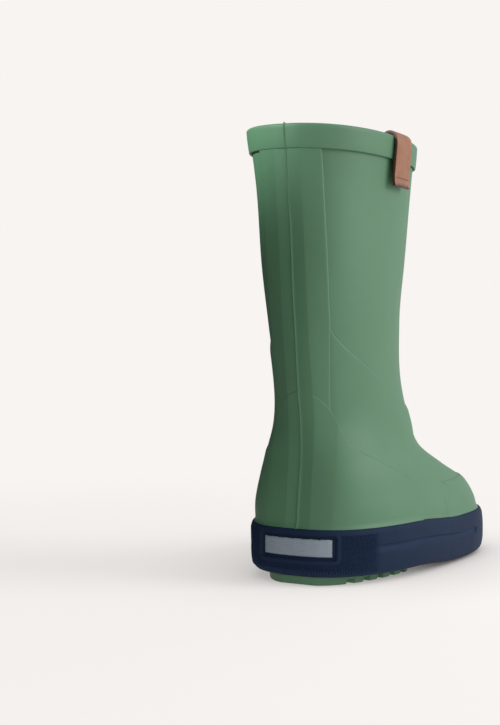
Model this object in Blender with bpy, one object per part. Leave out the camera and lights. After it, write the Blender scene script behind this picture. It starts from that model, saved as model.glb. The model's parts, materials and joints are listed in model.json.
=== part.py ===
"""Rubber rain boot, right foot: one object per piece.

Units are metres and +Z is up. The toe points along -Y and the outer (lateral) side of the foot
lies at -X. The origin is on the floor, on the shaft's centre line, under the middle of the heel.

The boot's form is a stack of horizontal sections. Each section is an oval whose two ends are
superellipses, and every skin, sheet and edge line is a lift off that one form.
"""
import math

import bmesh
import bpy
import numpy as np
from mathutils import Matrix, Vector

MM = 0.001

# ---------------------------------------------------------------- driving dimensions (mm)
BOOT_HEIGHT = 235.0
HEEL_TO_ORIGIN = 31.0        # from the back of the heel to the origin
GAP = 0.3                    # clearance between neighbouring solids

# The form of the rubber upper. Each row: height, distance of the back and of the front behind and
# ahead of the heel line, half width on the outer and inner side, place of the widest point as a
# share of the length, squareness of the back and of the front, sideways lean of the toe.
SECTIONS = (
    (4.0, -0.6, 187.0, 41.5, 47.2, 0.66, 2.8, 2.3, 5.0),
    (16.0, -1.6, 188.0, 43.0, 48.6, 0.66, 2.8, 2.3, 5.0),
    (30.0, -0.8, 186.0, 41.8, 49.0, 0.67, 2.9, 2.3, 5.0),
    (42.0, 0.6, 181.0, 38.4, 46.0, 0.6, 3.1, 2.25, 4.5),
    (54.0, 1.8, 149.5, 34.8, 41.0, 0.57, 3.0, 2.2, 3.5),
    (66.0, 2.9, 121.5, 30.1, 36.4, 0.54, 2.75, 2.15, 2.5),
    (80.0, 2.9, 109.0, 27.6, 33.7, 0.53, 2.25, 2.1, 1.0),
    (105.0, -0.4, 98.0, 25.9, 30.5, 0.48, 2.05, 2.1, 0.0),
    (135.0, -3.9, 95.5, 27.0, 31.7, 0.46, 2.2, 2.1, 0.0),
    (170.0, -7.0, 102.8, 28.5, 34.5, 0.42, 2.3, 2.1, 0.0),
    (205.0, -11.0, 108.6, 30.2, 36.0, 0.42, 2.3, 2.1, 0.0),
    (235.0, -14.7, 111.2, 33.3, 39.5, 0.42, 2.3, 2.1, 0.0),
)
RIM_LEAN = 0.035             # the inner side of the rim stands higher than the outer side

UPPER_THICKNESS = 1.8
UPPER_BOTTOM = 15.0
UPPER_TOP = 233.2
LINING_THICKNESS = 0.8
LINING_LIFT = -2.3           # the lining's outer face, off the form
SOCK_CORNER = 1.6            # rounding where a sock's wall meets its flat bottom
OVERLAY_LIFT = 0.5           # the overlays' inner face stands this far off the upper
OVERLAY_THICKNESS = 0.8

BAND_LOWER_EDGE = 222.5
BAND_THICKNESS = 1.3
BAND_ROUNDING = 0.5

ARCH_RISE = 21.0             # heel counter: its arch stands this high over the skirt
ARCH_HALF_WIDTH = 21.0
SKIRT_TOP = 80.0             # height of the counter's skirt, carried back to the seam
SKIRT_FALL = 0.37            # fall of the skirt for each mm round the heel
STAY_HALF_WIDTH = 18.5
STAY_TAPER = 2.5             # the stay is this much narrower at the arch, on each side
STAY_TAPER_LENGTH = 40.0
DIAGONAL_START = 134.0       # ankle line, height where it leaves the back stay
DIAGONAL_FALL = 48.0
DIAGONAL_POWER = 0.62        # below 1 the line falls steeply at first and levels out
QUARTER_ARC = 86.0           # arc length from the back seam to the quarter's front edge, at the sole
QUARTER_RAKE = 0.27          # forward lean of that edge
CAP_REAR = 99.0              # toe cap: from the heel line to its rear edge at the sole
CAP_RAKE = 0.2
CAP_TOP = 46.0
OVERLAY_BOTTOM = 20.0        # the overlays end behind the sole's sidewall
OVERLAY_STEP = 4.0           # spacing of the columns of points in an overlay

SOLE_BOTTOM = 4.6
SOLE_TOP = 29.0
SOLE_FLOOR_TOP = 8.2
SOLE_SECTION = 18.0          # the section that the sole's flat layers and treads follow
INSOLE_SECTION = 24.0        # the section that the loose insole follows
SOLE_PROUD = 3.9             # the sidewall stands this far outside the upper
SOLE_DRAFT = 3.2             # inward slope of the lower edge
SOLE_INSET = 3.0             # the flat underside starts this far inside the upper's outline
FOREFOOT_DROP = 3.0          # the sidewall's edges run this much lower round the forefoot
DROP_START = 55.0            # where they begin and end to fall, from the heel line
DROP_END = 115.0
GROOVE_BOTTOM = 16.0
GROOVE_TOP = 20.2
GROOVE_DEPTH = 1.2
GROOVE_START = 40.0          # arc lengths from the back seam
GROOVE_END = 157.0

REFLECTOR_HALF_WIDTH = 18.5
REFLECTOR_BOTTOM = 15.2
REFLECTOR_TOP = 24.2
FRAME_MARGIN = 1.9
FRAME_DEPTH = 1.5

FILLER_BOTTOM = SOLE_FLOOR_TOP + GAP
FILLER_TOP = UPPER_BOTTOM - GAP
BOARD_THICKNESS = 1.2
FOAM_THICKNESS = 3.4
TOP_CLOTH_THICKNESS = 0.6
INSOLE_CLEARANCE = 2.2       # between the loose insole's edge and the lining
INSOLE_HINGE_REACH = 181.0   # from the heel line to the line that the insole lifts about

TREAD_WIDTH = 0.80           # share of the foot's width
TREAD_STATIONS = 14
TREAD_PLATE = 1.6            # the plate that the lugs stand on
TREAD_DRAFT = 0.965          # size of the lugs' foot, as a share of the plate
HEEL_TREAD = (-1.0, 64.0)    # rear and front end, from the heel line
FOREFOOT_TREAD = (98.0, 177.0)
HEEL_CHANNEL = 14.5          # first channel, in front of the solid heel block
FOREFOOT_CHANNEL = 107.0
LUG_PITCH = 11.0
LUG_GAP = 4.2

TAB_WIDTH = 21.0
TAB_THICKNESS = 1.8
TAB_CENTRE = 50.5            # from the heel line, along the rim
TAB_BOTTOM = 208.5
TAB_INNER_BOTTOM = 212.0
TAB_STANDOFF = 0.8
TAB_SECTION = 230.0          # the section that the tab is bent to
STITCHES = 8
STITCH_RADIUS = 0.3

COLUMNS = 48                 # points round a section
SOLE_COLUMNS = 76

# ---------------------------------------------------------------- colours (linear RGB)
GREEN = (0.100, 0.208, 0.128, 1.0)
NAVY = (0.016, 0.026, 0.052, 1.0)
SILVER = (0.200, 0.230, 0.270, 1.0)
LEATHER = (0.330, 0.155, 0.082, 1.0)
LINING_GREY = (0.300, 0.310, 0.290, 1.0)
BOARD_BROWN = (0.360, 0.270, 0.170, 1.0)
FOAM_GREY = (0.100, 0.105, 0.110, 1.0)
FILLER_BEIGE = (0.450, 0.400, 0.300, 1.0)
THREAD = (0.550, 0.330, 0.180, 1.0)


# ---------------------------------------------------------------- scene
def clear_scene():
    for item in list(bpy.data.objects):
        bpy.data.objects.remove(item, do_unlink=True)


def new_collection(name):
    collection = bpy.data.collections.new(name)
    bpy.context.scene.collection.children.link(collection)
    return collection


def make_material(name, colour, roughness, metallic=0.0):
    material = bpy.data.materials.new(name)
    material.use_nodes = True
    shader = material.node_tree.nodes["Principled BSDF"]
    shader.inputs["Base Color"].default_value = colour
    shader.inputs["Roughness"].default_value = roughness
    shader.inputs["Metallic"].default_value = metallic
    material.diffuse_color = colour
    return material


def add_object(name, mesh, material, collection):
    item = bpy.data.objects.new(name, mesh)
    if material is not None:
        mesh.materials.append(material)
    collection.objects.link(item)
    return item


# ---------------------------------------------------------------- the boot's form
SECTION_HEIGHTS = np.array([row[0] for row in SECTIONS])
SECTION_VALUES = np.array([row[1:] for row in SECTIONS])


def section_slopes():
    """Slope of every section value at each height, kept level where the value turns round."""
    steps = np.diff(SECTION_HEIGHTS)[:, None]
    rise = np.diff(SECTION_VALUES, axis=0) / steps
    slopes = np.vstack([rise[:1], (rise[:-1] + rise[1:]) / 2, rise[-1:]])
    turns = np.vstack([np.zeros_like(rise[:1]), rise[:-1] * rise[1:] <= 0, np.zeros_like(rise[:1])])
    limit = 3 * np.minimum(np.abs(np.vstack([rise[:1], rise])), np.abs(np.vstack([rise, rise[-1:]])))
    return np.where(turns > 0, 0.0, np.clip(slopes, -limit, limit))


SECTION_SLOPES = section_slopes()


def section_at(height):
    """The section's values at one height, from a cubic through the rows of SECTIONS."""
    height = min(max(height, SECTION_HEIGHTS[0]), SECTION_HEIGHTS[-1])
    row = min(int(np.searchsorted(SECTION_HEIGHTS, height, side="right")) - 1, len(SECTIONS) - 2)
    step = SECTION_HEIGHTS[row + 1] - SECTION_HEIGHTS[row]
    t = (height - SECTION_HEIGHTS[row]) / step
    low, high = SECTION_VALUES[row], SECTION_VALUES[row + 1]
    slope_low, slope_high = SECTION_SLOPES[row] * step, SECTION_SLOPES[row + 1] * step
    return (low * (2 * t**3 - 3 * t**2 + 1) + slope_low * (t**3 - 2 * t**2 + t)
            + high * (3 * t**2 - 2 * t**3) + slope_high * (t**3 - t**2))


def form_point(angle, height):
    """A point of the form in mm: angle 0 is the back seam and grows towards the outer side."""
    back, front, outer, inner, widest, back_power, front_power, lean = section_at(height)
    length = front - back
    along, across = math.cos(angle), math.sin(angle)
    power = 2.0 / (back_power if along > 0 else front_power)
    if along > 0:
        reach = back + widest * length * (1 - abs(along) ** power)
    else:
        reach = back + widest * length + (1 - widest) * length * abs(along) ** power
    half = outer if across > 0 else inner
    side = half * math.copysign(abs(across) ** power, across)
    side -= lean * ((reach - back) / length) ** 2
    lift = RIM_LEAN * -side * max(0.0, (height - 135.0) / 100.0)
    return np.array([-side, HEEL_TO_ORIGIN - reach, height + lift])


def form_normal(angle, height):
    """The outward normal of the form."""
    turn, rise = 0.02, 0.8
    round_it = form_point(angle + turn, height) - form_point(angle - turn, height)
    up_it = form_point(angle, min(height + rise, BOOT_HEIGHT)) - form_point(angle, height - rise)
    normal = np.cross(round_it, up_it)
    return normal / np.linalg.norm(normal)


def skin_point(angle, height, lift):
    """A point lifted off the form along its normal."""
    return form_point(angle, height) + form_normal(angle, height) * lift


def flat_point(angle, height, lift, at_height):
    """A point of the section at `height`, lifted level and placed at `at_height`."""
    point = form_point(angle, height)
    normal = form_normal(angle, height)
    normal[2] = 0.0
    point = point + normal / np.linalg.norm(normal) * lift
    point[2] = at_height
    return point


def angles_round(count=COLUMNS):
    return [2 * math.pi * index / count for index in range(count)]


def angle_at_arc(arc, height):
    """The angle whose distance from the back seam, along the section, is `arc`."""
    side = math.copysign(1.0, arc)
    walked = 0.0
    angle = 0.0
    step = math.radians(0.5)
    last = form_point(0.0, height)
    while walked < abs(arc) and angle < math.pi:
        angle += step
        point = form_point(side * angle, height)
        walked += float(np.linalg.norm(point[:2] - last[:2]))
        last = point
    return side * angle


def angle_at_reach(reach, height, side):
    """The angle on one side where the form is `reach` ahead of the heel line."""
    low, high = 0.02, math.pi - 0.02
    for _ in range(30):
        middle = (low + high) / 2
        if HEEL_TO_ORIGIN - form_point(side * middle, height)[1] < reach:
            low = middle
        else:
            high = middle
    return side * low


# ---------------------------------------------------------------- mesh builders
def finish_mesh(name, work):
    bmesh.ops.recalc_face_normals(work, faces=work.faces)
    bmesh.ops.triangulate(work, faces=work.faces)
    mesh = bpy.data.meshes.new(name)
    work.to_mesh(mesh)
    work.free()
    mesh.shade_smooth()
    mesh.set_sharp_from_angle(angle=math.radians(40))
    return mesh


def loft(name, rings, closed_path=False):
    """Skin a stack of equal closed rings; the ends are capped unless the path is closed."""
    work = bmesh.new()
    rows = [[work.verts.new(point * MM) for point in ring] for ring in rings]
    count = len(rows[0])
    pairs = list(zip(rows, rows[1:]))
    if closed_path:
        pairs.append((rows[-1], rows[0]))
    for lower, upper in pairs:
        for index in range(count):
            after = (index + 1) % count
            work.faces.new((lower[index], lower[after], upper[after], upper[index]))
    if not closed_path:
        work.faces.new(list(reversed(rows[0])))
        work.faces.new(rows[-1])
    return finish_mesh(name, work)


def sheet(name, grid_inner, grid_outer):
    """A sheet with thickness: two equal grids of points, joined along their border."""
    work = bmesh.new()
    inner = [[work.verts.new(point * MM) for point in row] for row in grid_inner]
    outer = [[work.verts.new(point * MM) for point in row] for row in grid_outer]
    rows, columns = len(inner), len(inner[0])
    for i in range(rows - 1):
        for j in range(columns - 1):
            work.faces.new((inner[i][j], inner[i + 1][j], inner[i + 1][j + 1], inner[i][j + 1]))
            work.faces.new((outer[i][j], outer[i][j + 1], outer[i + 1][j + 1], outer[i + 1][j]))
    border = [(0, j) for j in range(columns)]
    border += [(i, columns - 1) for i in range(1, rows)]
    border += [(rows - 1, j) for j in range(columns - 2, -1, -1)]
    border += [(i, 0) for i in range(rows - 2, 0, -1)]
    for (a, b), (c, d) in zip(border, border[1:] + border[:1]):
        work.faces.new((inner[a][b], inner[c][d], outer[c][d], outer[a][b]))
    return finish_mesh(name, work)


def skin_sheet(name, sites, lift, thickness):
    """A sheet that follows the form: sites is a grid of (angle, height)."""
    inner = [[skin_point(angle, height, lift) for angle, height in row] for row in sites]
    outer = [[skin_point(angle, height, lift + thickness) for angle, height in row] for row in sites]
    return sheet(name, inner, outer)


def shell_heights():
    """Heights of the rows of a skin: close together over the foot, wide apart up the shaft."""
    foot = np.arange(24.0, 100.0, 8.0)
    shaft = np.arange(108.0, 226.0, 19.0)
    return list(foot) + list(shaft)


def sock_rings(lift, bottom, top, count):
    """Rings of a sock-shaped skin from its flat bottom up to its rim."""
    rings = []
    for inset, rise in ((SOCK_CORNER, 0.0), (SOCK_CORNER / 5, SOCK_CORNER / 3)):
        ring = [flat_point(a, bottom + 1.0, lift - inset, bottom + rise) for a in angles_round(count)]
        rings.append(ring)
    for height in [bottom + 3.0] + shell_heights() + [top]:
        if height > bottom + 2.9:
            rings.append([skin_point(a, height, lift) for a in angles_round(count)])
    for ring in rings[-1:]:
        for point in ring:
            point[2] = top + RIM_LEAN * point[0]
    return rings


def make_sock(name, lift, thickness, bottom, top, count):
    """A closed shell in the shape of a sock, open at the top."""
    outer = sock_rings(lift, bottom, top, count)
    inner = sock_rings(lift - thickness, bottom + thickness, top, count)
    return loft(name, outer + list(reversed(inner)))


# ---------------------------------------------------------------- rubber upper and lining
def upper_shell():
    return make_sock("upper_shell", 0.0, UPPER_THICKNESS, UPPER_BOTTOM, UPPER_TOP, COLUMNS)


def textile_lining():
    bottom = UPPER_BOTTOM + UPPER_THICKNESS + GAP + BOARD_THICKNESS + GAP
    return make_sock("textile_lining", LINING_LIFT, LINING_THICKNESS, bottom, UPPER_TOP, COLUMNS - 8)


def top_band():
    """The rubber band rolled over the rim: an outer leg and a lip over the raw edges."""
    inside = LINING_LIFT - LINING_THICKNESS
    outside = GAP + BAND_THICKNESS
    lip = UPPER_TOP + GAP
    profile = (
        (GAP, BAND_LOWER_EDGE + 0.1),
        (outside - BAND_ROUNDING, BAND_LOWER_EDGE - 0.1),
        (outside, BAND_LOWER_EDGE + BAND_ROUNDING),
        (outside, BOOT_HEIGHT - 1.6),
        (outside - 0.5, BOOT_HEIGHT - 0.5),
        (outside - 1.5, BOOT_HEIGHT),
        (inside + 0.7, BOOT_HEIGHT),
        (inside, BOOT_HEIGHT - 0.5),
        (inside, lip),
        (GAP, lip),
    )
    rings = []
    for lift, height in profile:
        ring = []
        for angle in angles_round():
            point = flat_point(angle, min(height, 234.0), lift, height)
            point[2] = height + RIM_LEAN * point[0]
            ring.append(point)
        rings.append(ring)
    return loft("top_band", rings, closed_path=True)


# ---------------------------------------------------------------- rubber overlays
def arch_height(arc):
    """Height of the heel counter's upper edge, at an arc length from the back seam."""
    crown = ARCH_RISE * math.exp(-((abs(arc) / ARCH_HALF_WIDTH) ** 4))
    return crown + SKIRT_TOP - SKIRT_FALL * abs(arc)


def quarter_arc(height):
    """Arc length from the back seam to the raked front edge of the quarters and the counter."""
    return QUARTER_ARC + QUARTER_RAKE * (height - SOLE_TOP)


def stay_half_width(height):
    taper = min(max((DIAGONAL_START - height) / STAY_TAPER_LENGTH, 0.0), 1.0)
    return STAY_HALF_WIDTH - STAY_TAPER * taper


def diagonal_height(share):
    """Height of the ankle line; share runs from the back stay to the quarter's front edge."""
    return DIAGONAL_START - DIAGONAL_FALL * share ** DIAGONAL_POWER


def site_at(arc, height):
    return angle_at_arc(arc, height), height


def back_stay():
    """The strip that covers the back seam from the band down to the counter's arch."""
    top = BAND_LOWER_EDGE - 0.8
    sites = []
    for rise in np.linspace(0.0, 1.0, 10):
        row = []
        for across in np.linspace(-1.0, 1.0, 9):
            low = arch_height(across * stay_half_width(SKIRT_TOP)) + 2 * GAP
            height = low + (top - low) * rise
            row.append(site_at(across * stay_half_width(height), height))
        sites.append(row)
    return skin_sheet("back_stay", sites, OVERLAY_LIFT, OVERLAY_THICKNESS)


def edge_arcs(start, end):
    """Arc lengths of the columns of an overlay, so that neighbours share the same stations."""
    first = math.floor(start / OVERLAY_STEP + 1) * OVERLAY_STEP
    return [start] + list(np.arange(first, end - 1.0, OVERLAY_STEP)) + [end]


def heel_counter():
    """The arched piece that cups the heel, from the sole up to the arch."""
    reach = quarter_arc(SKIRT_TOP - SKIRT_FALL * QUARTER_ARC)
    base_reach = quarter_arc(OVERLAY_BOTTOM)
    half = edge_arcs(0.0, reach)
    sites = []
    for rise in np.linspace(0.0, 1.0, 7):
        row = []
        for top_arc in [-arc for arc in reversed(half[1:])] + half:
            height = OVERLAY_BOTTOM + (arch_height(top_arc) - OVERLAY_BOTTOM) * rise
            arc = top_arc / reach * (base_reach + (reach - base_reach) * rise)
            row.append(site_at(arc, height))
        sites.append(row)
    return skin_sheet("heel_counter", sites, OVERLAY_LIFT, OVERLAY_THICKNESS)


def quarter(name, side):
    """The side piece under the ankle line, between the back stay, the counter and the instep."""
    reach = quarter_arc(SKIRT_TOP - SKIRT_FALL * QUARTER_ARC)
    rear = stay_half_width(SKIRT_TOP) + 2 * GAP
    sites = []
    for low_arc in edge_arcs(rear, reach):
        share = (low_arc - rear) / (reach - rear)
        low = arch_height(low_arc) + 2 * GAP
        column = []
        for rise in np.linspace(0.0, 1.0, 7):
            height = low + (diagonal_height(share) - low) * rise
            start = stay_half_width(height) + 2 * GAP
            arc = start + (quarter_arc(height) - start) * share
            if rise == 0.0:
                arc = low_arc
            column.append(site_at(side * arc, height))
        sites.append(column)
    return skin_sheet(name, sites, OVERLAY_LIFT, OVERLAY_THICKNESS)


def toe_cap():
    """The bumper over the toes; its rear edge crosses the foot on a slightly raked plane."""
    sites = []
    for share in np.linspace(0.0, 1.0, 7):
        height = OVERLAY_BOTTOM + (CAP_TOP - OVERLAY_BOTTOM) * share
        reach = CAP_REAR + CAP_RAKE * (height - SOLE_TOP)
        outer = angle_at_reach(reach, height, 1.0)
        inner = 2 * math.pi + angle_at_reach(reach, height, -1.0)
        sites.append([(outer + (inner - outer) * column, height) for column in np.linspace(0, 1, 33)])
    return skin_sheet("toe_cap", sites, OVERLAY_LIFT, OVERLAY_THICKNESS)


# ---------------------------------------------------------------- sole
def sidewall_drop(y):
    """How much lower the sidewall's edges run than at the heel."""
    share = min(max((HEEL_TO_ORIGIN - y - DROP_START) / (DROP_END - DROP_START), 0.0), 1.0)
    return FOREFOOT_DROP * share * share * (3 - 2 * share)


def dropped(point):
    point[2] -= sidewall_drop(point[1])
    return point


def sole_ring(lift, height, count=SOLE_COLUMNS):
    """A level ring of the sole: below the rounded toe the wall stands straight."""
    section = min(max(height, SOLE_SECTION), SOLE_TOP)
    return [flat_point(a, section, lift, height) for a in angles_round(count)]


def sole_sidewall_body():
    """The navy cup: a floor with a wall round it, before its groove and recess are cut."""
    inside = OVERLAY_LIFT + OVERLAY_THICKNESS + 3 * GAP
    outer = (
        (SOLE_PROUD - SOLE_DRAFT, SOLE_BOTTOM),
        (SOLE_PROUD - 0.9, SOLE_BOTTOM + 2.6),
        (SOLE_PROUD - 0.1, SOLE_BOTTOM + 6.5),
        (SOLE_PROUD, 14.0),
        (SOLE_PROUD, 22.0),
        (SOLE_PROUD - 0.3, SOLE_TOP - 1.4),
        (SOLE_PROUD - 0.9, SOLE_TOP - 0.2),
        (inside, SOLE_TOP),
    )
    inner = ((inside, 25.0), (inside, 19.0), (inside, FILLER_TOP), (inside - 3.0, SOLE_FLOOR_TOP))
    rings = [sole_ring(-SOLE_INSET, SOLE_BOTTOM)]
    rings += [[dropped(point) for point in sole_ring(lift, height)] for lift, height in outer]
    rings += [sole_ring(lift, height) for lift, height in inner]
    return loft("sole_sidewall", rings)


def curved_block(name, arc_start, arc_end, bottom, top, lift_in, lift_out, columns):
    """A block bent round the sole between two arc lengths, used to cut or to fill the wall."""
    grids = []
    for lift in (lift_in, lift_out):
        grid = []
        for height in (bottom, top):
            arcs = np.linspace(arc_start, arc_end, columns)
            grid.append([dropped(flat_point(angle_at_arc(arc, 20.0), 20.0, lift, height)) for arc in arcs])
        grids.append(grid)
    return sheet(name, grids[0], grids[1])


def cut(target, cutter):
    modifier = target.modifiers.new(cutter.name, "BOOLEAN")
    modifier.operation = "DIFFERENCE"
    modifier.solver = "EXACT"
    modifier.object = cutter


def hide_cutter(cutter):
    cutter.hide_render = True
    cutter.display_type = "WIRE"


def sole_sidewall(material, parts, cutters):
    body = add_object("sole_sidewall", sole_sidewall_body(), material, parts)
    face = SOLE_PROUD
    reach = REFLECTOR_HALF_WIDTH + FRAME_MARGIN
    recess = curved_block("reflector_recess", -reach, reach, REFLECTOR_BOTTOM - FRAME_MARGIN,
                          REFLECTOR_TOP + FRAME_MARGIN, face - FRAME_DEPTH, face + 2.0, 13)
    cutter_items = [add_object("reflector_recess", recess, None, cutters)]
    for name, side in (("groove_outer", 1.0), ("groove_inner", -1.0)):
        start, end = sorted((side * GROOVE_START, side * GROOVE_END))
        groove = curved_block(name, start, end, GROOVE_BOTTOM, GROOVE_TOP,
                              face - GROOVE_DEPTH, face + 2.0, 21)
        cutter_items.append(add_object(name, groove, None, cutters))
    for item in cutter_items:
        hide_cutter(item)
        cut(body, item)
    return body


def heel_reflector():
    lift = SOLE_PROUD - FRAME_DEPTH + GAP
    return curved_block("heel_reflector", -REFLECTOR_HALF_WIDTH, REFLECTOR_HALF_WIDTH,
                        REFLECTOR_BOTTOM, REFLECTOR_TOP, lift, lift + 0.6, 13)


def foot_plate(name, lift, bottom, top, section_height, count=COLUMNS - 8):
    """A flat layer in the outline of one section."""
    rings = [[flat_point(a, section_height, lift, height) for a in angles_round(count)]
             for height in (bottom, top)]
    return loft(name, rings)


def midsole_filler():
    return foot_plate("midsole_filler", -2.6, FILLER_BOTTOM, FILLER_TOP, SOLE_SECTION)


def insole_board():
    bottom = UPPER_BOTTOM + UPPER_THICKNESS + GAP
    lift = -UPPER_THICKNESS - SOCK_CORNER
    return foot_plate("insole_board", lift, bottom, bottom + BOARD_THICKNESS, SOLE_SECTION)


def insole_bottom():
    board_top = UPPER_BOTTOM + UPPER_THICKNESS + GAP + BOARD_THICKNESS
    return board_top + GAP + LINING_THICKNESS + GAP


def insole_lift():
    return LINING_LIFT - LINING_THICKNESS - INSOLE_CLEARANCE


def insole_foam():
    bottom = insole_bottom()
    return foot_plate("insole_foam", insole_lift(), bottom, bottom + FOAM_THICKNESS, INSOLE_SECTION)


def insole_top_cloth():
    bottom = insole_bottom() + FOAM_THICKNESS + GAP
    return foot_plate("insole_top_cloth", insole_lift(), bottom, bottom + TOP_CLOTH_THICKNESS, INSOLE_SECTION)


def insole_hinge():
    """The line across the toe end of the loose insole, about which its heel end lifts."""
    return (0.0, HEEL_TO_ORIGIN - INSOLE_HINGE_REACH, insole_bottom())


def tread_outline(rear, front):
    """Points round a tread plate: the foot's outline, narrowed, between a rear and a front end."""
    outer, inner = [], []
    for step in range(TREAD_STATIONS + 1):
        reach = rear + (front - rear) * (1 - math.cos(math.pi * step / TREAD_STATIONS)) / 2
        y = HEEL_TO_ORIGIN - reach
        for side, edge in ((1.0, outer), (-1.0, inner)):
            point = form_point(angle_at_reach(reach, SOLE_SECTION, side), SOLE_SECTION)
            edge.append((point[0] * TREAD_WIDTH, y))
    return outer + inner[::-1]


def tread_body(name, rear, front):
    """A plate under the sole, with room below it for lugs that taper towards the floor."""
    top = SOLE_BOTTOM - GAP
    outline = tread_outline(rear, front)
    middle = HEEL_TO_ORIGIN - (rear + front) / 2
    rings = []
    for height, shrink in ((0.0, TREAD_DRAFT), (top - TREAD_PLATE, 1.0), (top, 1.0)):
        rings.append([np.array([x * shrink, middle + (y - middle) * shrink, height])
                      for x, y in outline])
    return loft(name, rings)


def channel_cutter(name, reach, collection):
    """A long box across the sole that separates two lugs."""
    bpy.ops.mesh.primitive_cube_add(size=1.0)
    cutter = bpy.context.active_object
    cutter.name = name
    depth = SOLE_BOTTOM - GAP - TREAD_PLATE
    cutter.scale = (120.0 * MM, LUG_GAP * MM, 2 * depth * MM)
    bpy.ops.object.transform_apply(location=False, rotation=False, scale=True)
    cutter.location = (0.0, (HEEL_TO_ORIGIN - reach) * MM, 0.0)
    for owner in list(cutter.users_collection):
        owner.objects.unlink(cutter)
    collection.objects.link(cutter)
    hide_cutter(cutter)
    return cutter


def tread(name, rear, front, first_channel, material, parts, cutters):
    """A tread: one rubber piece whose lugs are divided by channels at an even pitch."""
    item = add_object(name, tread_body(name, rear, front), material, parts)
    count = int((front - LUG_GAP - first_channel) / LUG_PITCH) + 1
    for number in range(count):
        reach = first_channel + number * LUG_PITCH
        cut(item, channel_cutter(f"{name}_channel_{number + 1}", reach, cutters))
    return item


# ---------------------------------------------------------------- leather pull tab
def arc_at_reach(reach, height):
    """Arc length from the back seam to a distance ahead of the heel line, on the outer side."""
    angle = angle_at_reach(reach, height, 1.0)
    steps = [form_point(angle * index / 60, height)[:2] for index in range(61)]
    return float(sum(np.linalg.norm(b - a) for a, b in zip(steps, steps[1:])))


def tab_spot(across, lift, height):
    """A point beside the rim at the tab: `across` is the distance from the tab's centre line."""
    arc = arc_at_reach(TAB_CENTRE, TAB_SECTION) + across
    angle = angle_at_arc(arc, TAB_SECTION)
    spot = flat_point(angle, min(height, TAB_SECTION), lift, height)
    spot[2] += RIM_LEAN * spot[0]
    return spot


def strap(name, path, thickness, width):
    """A strap bent to the rim's curve along a path of (lift, height) points."""
    path = [np.array(point, dtype=float) for point in path]
    grids = []
    for side in (-1, 1):
        grid = []
        for index, point in enumerate(path):
            ahead = path[min(index + 1, len(path) - 1)] - path[max(index - 1, 0)]
            ahead /= np.linalg.norm(ahead)
            lift, height = point + np.array([-ahead[1], ahead[0]]) * side * thickness / 2
            grid.append([tab_spot(share * width, lift, height) for share in np.linspace(-0.5, 0.5, 5)])
        grids.append(grid)
    return sheet(name, grids[0], grids[1])


def fold(turn_sign, start, radius, crown):
    """Points of a quarter circle from the top of the fold down to one side of the rim."""
    turns = [math.radians(90 - turn_sign * 18 * step) for step in range(1, 6)]
    return [(start + radius * math.cos(t), crown - radius + radius * math.sin(t)) for t in turns]


def tab_paths():
    """Centre lines of the flap outside the rim and of the anchor leg inside it."""
    half = TAB_THICKNESS / 2
    outside = GAP + BAND_THICKNESS + TAB_STANDOFF + half
    inside = LINING_LIFT - LINING_THICKNESS - TAB_STANDOFF - half
    crown = BOOT_HEIGHT + TAB_STANDOFF + half
    middle = (outside + inside) / 2
    radius = (outside - inside) / 2
    flap = [(middle + GAP, crown)] + fold(1, middle, radius, crown)
    flap += [(outside, 226.0), (outside, 221.0), (outside, 214.0), (outside + 1.0, TAB_BOTTOM)]
    anchor = [(middle - GAP, crown)] + fold(-1, middle, radius, crown)
    anchor += [(inside, 226.0), (inside + 0.4, TAB_INNER_BOTTOM)]
    return flap, anchor


def tab_flap():
    return strap("tab_flap", tab_paths()[0], TAB_THICKNESS, TAB_WIDTH)


def tab_anchor():
    return strap("tab_anchor", tab_paths()[1], TAB_THICKNESS, TAB_WIDTH)


def tab_hinge():
    """Middle of the fold's top line, on the leather's outer face, which the flap turns about."""
    lift, crown = tab_paths()[0][0]
    return tab_spot(0.0, lift, crown + TAB_THICKNESS / 2)


def tab_stitching():
    """The thread that holds the anchor leg to the lining: a wavy run near the leg's lower end."""
    lift = tab_paths()[1][-1][0] - TAB_THICKNESS / 2 - GAP - STITCH_RADIUS - 0.1
    height = TAB_INNER_BOTTOM + 3.0
    reach = TAB_WIDTH / 2 - 2.5
    path = np.linspace(-reach, reach, 2 * STITCHES + 1)
    rings = []
    for index, across in enumerate(path):
        dip = 0.1 if index % 2 else -0.1
        centre = tab_spot(across, lift + dip, height)
        out = tab_spot(across, lift + dip + 1.0, height) - centre
        turns = [math.radians(60 * corner) for corner in range(6)]
        rings.append([centre + out * STITCH_RADIUS * math.cos(t)
                      + np.array([0.0, 0.0, STITCH_RADIUS * math.sin(t)]) for t in turns])
    return loft("tab_stitching", rings)


# ---------------------------------------------------------------- assembly
def put_origin_on(item, hinge):
    """Set an object's origin on its hinge line, and leave its mesh where it is."""
    offset = Vector(hinge) * MM
    item.data.transform(Matrix.Translation(-offset))
    item.location = offset


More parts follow.
